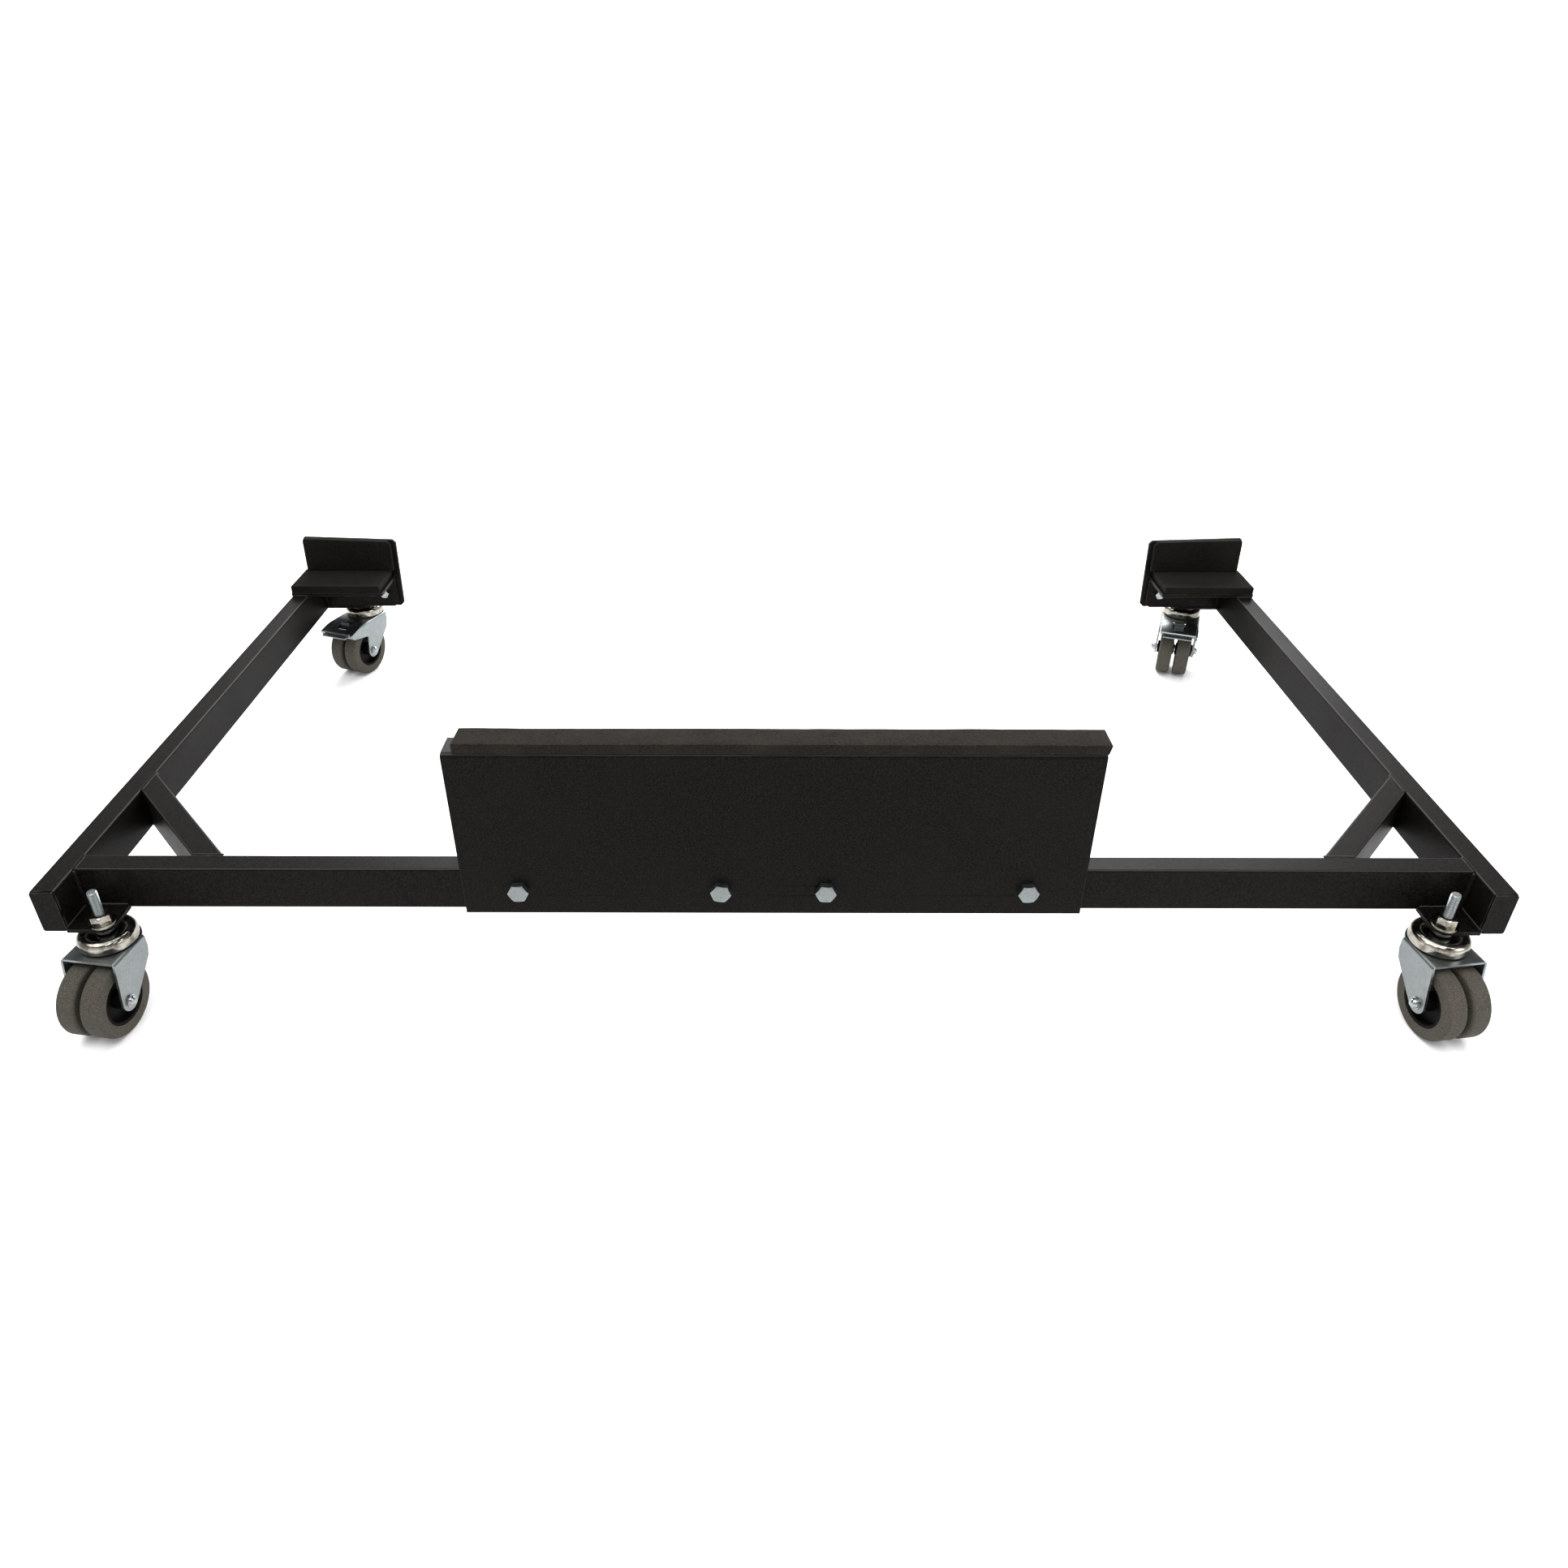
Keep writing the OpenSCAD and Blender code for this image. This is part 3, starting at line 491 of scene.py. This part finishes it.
def shelf_foam(side, material):
    """Pad on a shelf. The upright pad presses its back strip down a little."""
    low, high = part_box(f"rear_shelf_foam_{side}")
    size = high - low
    pressed_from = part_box(f"rear_back_foam_{side}")[0].y - low.y
    top_drop, top_wave, pressed_by = 0.4 * MM, 0.35 * MM, 0.6 * MM
    front_inset, front_wave, end_inset = 0.5 * MM, 0.5 * MM, 1.2 * MM
    bm = block(size, 1.0 * MM, 4 * MM)
    for vert in bm.verts:
        x, y, z = vert.co
        along, front, up = x / size.x, 1 - y / size.y, z / size.z
        wave = top_wave * wobble((x, y, 0), 22, 4 + SIDES[side])
        vert.co.z -= up * (top_drop - wave)
        if y > pressed_from:
            vert.co.z = min(vert.co.z, size.z - pressed_by)
        vert.co.y += front * (front_inset + front_wave * wobble((x, 0, z), 30, 6 + SIDES[side]))
        ends = abs(2 * along - 1) ** 8
        vert.co.x += (0.5 - along) * ends * end_inset
    place(bm, low)
    pad = make_piece(f"foam_shelf_{side}", bm, material)
    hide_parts(f"rear_shelf_foam_{side}")


def back_foam(side, material):
    """Upright pad: its top follows the tilted plate behind it, its foot stands level on the shelf pad."""
    low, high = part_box(f"rear_back_foam_{side}")
    width, depth, height = 136 * MM, high.y - low.y, high.z - low.z
    inner_clip, outer_clip = 5 * MM, 2 * MM
    tilt = math.radians(1.8)
    slope = math.tan(tilt)
    lean = slope * (height - slope * width - inner_clip)
    inner_x = min(abs(low.x), abs(high.x)) + lean
    front_inset, front_wave = 0.3 * MM, 0.3 * MM
    top_drop, top_wave = 0.25 * MM, 0.25 * MM
    bm = block((width, depth, height), 0.9 * MM, 4 * MM)
    for vert in bm.verts:
        x, y, z = vert.co
        front, up = 1 - y / depth, z / height
        clipped = max(x, inner_clip - (height - z))
        vert.co.x = min(clipped, width - outer_clip + (height - z))
        vert.co.y += front * (front_inset + front_wave * wobble((x, 0, z), 28, 9 + SIDES[side]))
        vert.co.z -= up * slope * (width - x)
        vert.co.z -= up * (top_drop - top_wave * wobble((x, 0, 0), 30, 11 + SIDES[side]))
        vert.co.x -= slope * z
    place(bm, (inner_x, low.y, low.z), mirrored=SIDES[side] == LEFT)
    pad = make_piece(f"foam_back_{side}", bm, material)
    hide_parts(f"rear_back_foam_{side}")


# ---------- threaded stems ----------


def skin(bm, rings):
    """Faces between rings of equal length, with both ends closed."""
    count = len(rings[0])
    for a, b in zip(rings, rings[1:]):
        for i in range(count):
            j = (i + 1) % count
            bm.faces.new((a[i], a[j], b[j], b[i]))
    bm.faces.new(list(reversed(rings[0])))
    bm.faces.new(rings[-1])


def around(centre, radius, height, turn):
    """Point at a radius and height from a vertical axis. A turn of 1 is once round it."""
    angle = 2 * math.pi * turn
    away = Vector((math.cos(angle), math.sin(angle), 0)) * radius
    return Vector(centre) + away + Vector((0, 0, height))


def lathe(bm, centre, profile, sides=48):
    """Closed turned shape round a vertical axis. The profile is (radius, height) from below."""
    rings = []
    for radius, height in profile:
        rings.append([bm.verts.new(around(centre, radius, height, i / sides)) for i in range(sides)])
    skin(bm, rings)


def thread(bm, centre, low, high, radius):
    """Screw thread between two heights, with a chamfered upper end."""
    pitch, depth, chamfer = 1.5 * MM, 0.85 * MM, 1.0 * MM
    ridge_share, crest_flatness = 0.86, 1.25
    sides, per_turn = 40, 8
    count = round((high - low) / pitch * per_turn)
    rings = []
    for k in range(count + 1):
        height = low + (high - low) * k / count
        end_radius = radius - chamfer * max(0.0, 1 - (high - height) / chamfer)
        ring = []
        for i in range(sides):
            turn = (height / pitch - i / sides) % 1.0
            ridge = max(0.0, 1.0 - abs(turn - 0.5) * 2 / ridge_share)
            cut_radius = radius - depth * (1.0 - min(1.0, ridge * crest_flatness))
            point = around(centre, min(cut_radius, end_radius), height, i / sides)
            ring.append(bm.verts.new(point))
        rings.append(ring)
    skin(bm, rings)


def castor_stems(material):
    """Threaded stems with their neck and kingpin, in place of the plain CAD ones."""
    low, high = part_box("castor_stems")
    plate_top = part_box("castor_plate_front_left")[1].z
    neck_in_cap = 1.2 * MM
    neck_low, neck_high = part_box("castor_caps")[1].z - neck_in_cap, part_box("crossbar")[0].z
    stem_r, neck_r, king_r = 5 * MM, 10 * MM, 11 * MM
    king_low, king_high = low.z, low.z + 3 * MM
    edge = 0.4 * MM
    kingpin = [
        (king_r - edge, king_low), (king_r, king_low + edge), (king_r, king_high - edge),
        (king_r - edge, king_high), (stem_r, king_high), (stem_r, neck_low),
    ]
    neck = [
        (neck_r - 1.5 * MM, neck_low), (neck_r - 0.4 * MM, neck_low + 0.6 * MM),
        (neck_r, neck_low + 1.4 * MM), (neck_r, neck_high),
    ]
    bm = bmesh.new()
    for joint in frame["joints"]:
        if joint["name"].startswith("swivel_"):
            x, y, _ = joint["pos_m"]
            lathe(bm, (x, y, 0), kingpin)
            lathe(bm, (x, y, 0), neck)
            thread(bm, (x, y, 0), plate_top, high.z, stem_r)
    stems = make_piece("threaded_stems", bm, material, smooth=False)
    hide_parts("castor_stems")


# ---------- weld beads ----------


def bead(bm, start, end, up, side, width, height, seed):
    """Ridge of weld along a line, with ripples. It sinks a little into what it joins."""
    step, ripple_pitch, end_taper = 0.55 * MM, 2.3 * MM, 6 * MM
    ripple_size, swell_size, swell_scale = 0.10, 0.22, 130
    arc_points = 9
    start, end = Vector(start), Vector(end)
    up, side = Vector(up).normalized(), Vector(side).normalized()
    length = (end - start).length
    count = max(6, round(length / step))
    rings = []
    for k in range(count + 1):
        t = k / count
        middle = start.lerp(end, t)
        ripple = ripple_size * math.cos(2 * math.pi * t * length / ripple_pitch)
        swell = swell_size * wobble(middle, swell_scale, seed)
        taper = min(1.0, 4 * min(t, 1 - t) * length / end_taper + 0.25)
        w = width / 2 * (1 + ripple * 0.5 + swell) * taper ** 0.5
        h = height * (1 + ripple + swell) * taper
        ring = []
        for i in range(arc_points):
            angle = math.pi * i / (arc_points - 1)
            ring.append(bm.verts.new(middle + side * w * math.cos(angle) + up * h * math.sin(angle)))
        for share in (-0.6, 0.6):
            ring.append(bm.verts.new(middle + side * w * share - up * 0.4 * height))
        rings.append(ring)
    skin(bm, rings)


def span_from_middle(name):
    """Least and greatest distance of a CAD node from the dolly's middle plane."""
    low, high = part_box(name)
    return sorted((abs(low.x), abs(high.x)))


def corner_welds(side):
    """Beads where a brace and the crossbar meet an arm, and where a brace meets the crossbar."""
    crossbar_low, crossbar_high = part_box("crossbar")
    arm_x = span_from_middle("crossbar")[1]
    top, bottom = crossbar_high.z, crossbar_low.z
    front, rear = crossbar_low.y, crossbar_high.y
    tube_w = rear - front
    far_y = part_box(f"brace_{side}")[1].y
    reach_x = arm_x - span_from_middle(f"brace_{side}")[0]
    angle = math.atan2(far_y - rear, reach_x)
    near_y = far_y - tube_w / math.cos(angle)
    near_x = reach_x - tube_w / math.sin(angle)
    bm = bmesh.new()
    # Flat beads on top: arm to crossbar, arm to brace, crossbar to brace
    up, across_arm, across_bar = (0, 0, 1), (1, 0, 0), (0, 1, 0)
    wide, low = 4.5 * MM, 0.45 * MM
    bead(bm, (arm_x, front + MM, top), (arm_x, rear, top), up, across_arm, wide, low, seed=1)
    bead(
        bm, (arm_x, near_y, top), (arm_x, far_y, top),
        up, across_arm, wide, low * 1.6, seed=2,
    )
    bead(
        bm, (arm_x - near_x, rear, top), (arm_x - reach_x, rear, top),
        up, across_bar, wide, low, seed=3,
    )
    # Upright fillets in the corners
    top_gap, bottom_gap = 2 * MM, 0.3 * MM
    fillets = [
        ((arm_x, front), (-1, -1, 0), 4), ((arm_x, rear), (-1, 1, 0), 5),
        ((arm_x, far_y), (-1, 0.6, 0), 6), ((arm_x - reach_x, rear), (-1, 1, 0), 7),
    ]
    for (x, y), out, seed in fillets:
        along = Vector(up).cross(Vector(out))
        foot, head = (x, y, bottom + bottom_gap), (x, y, top - top_gap)
        bead(bm, foot, head, out, along, 5.5 * MM, 2.2 * MM, seed)
    place(bm, mirrored=SIDES[side] == LEFT)
    return bm


def rear_welds(side):
    """Beads between an arm's end and its shelf, leg and castor plate."""
    arm_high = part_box(f"side_arm_{side}")[1]
    shelf_low, shelf_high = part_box(f"rear_angle_{side}")
    inner, outer = span_from_middle(f"side_arm_{side}")
    top, end = arm_high.z, arm_high.y
    plate_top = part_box(f"castor_plate_rear_{side}")[1].z
    plate_inner = span_from_middle(f"castor_plate_rear_{side}")[0]
    bm = bmesh.new()
    # Under the shelf, along the arm's inner face
    under = top - 0.5 * MM
    bead(
        bm, (inner, shelf_low.y + 3 * MM, under), (inner, end - 3 * MM, under),
        (-1, 0, -1), (-1, 0, 1), 5 * MM, 2.0 * MM, seed=8,
    )
    # Upright, from the arm's end to the leg
    bead(
        bm, (inner, end, plate_top), (inner, end, top - 4 * MM),
        (-1, -1, 0), (1, -1, 0), 5 * MM, 2 * MM, seed=9,
    )
    # Across the arm, before the shelf's front edge
    bead(
        bm, (inner, shelf_low.y, top), (outer - MM, shelf_low.y, top),
        (0, -1, 1), (0, 1, 1), 4 * MM, 1.6 * MM, seed=10,
    )
    # Along the foot of the leg, on the castor plate
    leg_front = shelf_high.y - 5 * MM
    bead(
        bm, (plate_inner + 6 * MM, leg_front, plate_top), (inner - 3 * MM, leg_front, plate_top),
        (0, -1, 0.3), (0, 0.3, 1), 4 * MM, 1.2 * MM, seed=11,
    )
    place(bm, mirrored=SIDES[side] == LEFT)
    return bm


def castor_plate_welds(side):
    """Beads between a front castor plate and the two tubes of its corner."""
    plate_low, plate_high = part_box(f"castor_plate_front_{side}")
    arm_x = span_from_middle("crossbar")[1]
    inner = span_from_middle(f"castor_plate_front_{side}")[0]
    top, front, rear = plate_high.z, plate_low.y, plate_high.y
    width, height, gap = 4.5 * MM, 1.7 * MM, 2 * MM
    bm = bmesh.new()
    bead(
        bm, (arm_x, front + gap, top), (arm_x, rear - gap, top),
        (-1, 0, 1), (1, 0, 1), width, height, seed=12,
    )
    bead(
        bm, (inner + gap, rear, top), (arm_x - gap, rear, top),
        (0, -1, 1), (0, 1, 1), width, height, seed=13,
    )
    place(bm, mirrored=SIDES[side] == LEFT)
    return bm


def make_welds(material):
    """Three pieces on each side: the frame's corner, the arm's rear end and the front castor plate."""
    for side in SIDES:
        for kind, build in (("corner", corner_welds), ("rear", rear_welds), ("plate", castor_plate_welds)):
            make_piece(f"weld_{kind}_{side}", build(side), material)


# ---------- the scene ----------

make_camera()
make_world()
make_floor()
make_lights()
bpy.context.scene.view_settings.view_transform = "Standard"

MATERIALS = {
    "frame_powder_coat": powder_coat(),
    "sponge_foam": sponge_foam("sponge_foam", (0.0040, 0.0034, 0.0026), (0.020, 0.0175, 0.0138)),
    # Darker copy of the same foam for the rear shelf and back pads: painted shade.
    "rear_foam_painted_shade": sponge_foam(
        "rear_foam_painted_shade", (0.0006, 0.0006, 0.0004), (0.0072, 0.0065, 0.0050)
    ),
    "zinc_plate": zinc("zinc", (0.165, 0.182, 0.184), (0.245, 0.267, 0.270), (0.30, 0.40)),
    "bright_zinc": zinc("bright_zinc", (0.20, 0.21, 0.22), (0.46, 0.49, 0.50), (0.14, 0.26)),
    "nickel_plate": nickel(),
    "grey_tyre": tyre_rubber(),
    "hub_plastic": hub_plastic(),
}
dress(MATERIALS)
soften_edges()
front_foam(MATERIALS["sponge_foam"])
for side_name in SIDES:
    shelf_foam(side_name, MATERIALS["rear_foam_painted_shade"])
    back_foam(side_name, MATERIALS["rear_foam_painted_shade"])
castor_stems(MATERIALS["zinc_plate"])
make_welds(MATERIALS["frame_powder_coat"])
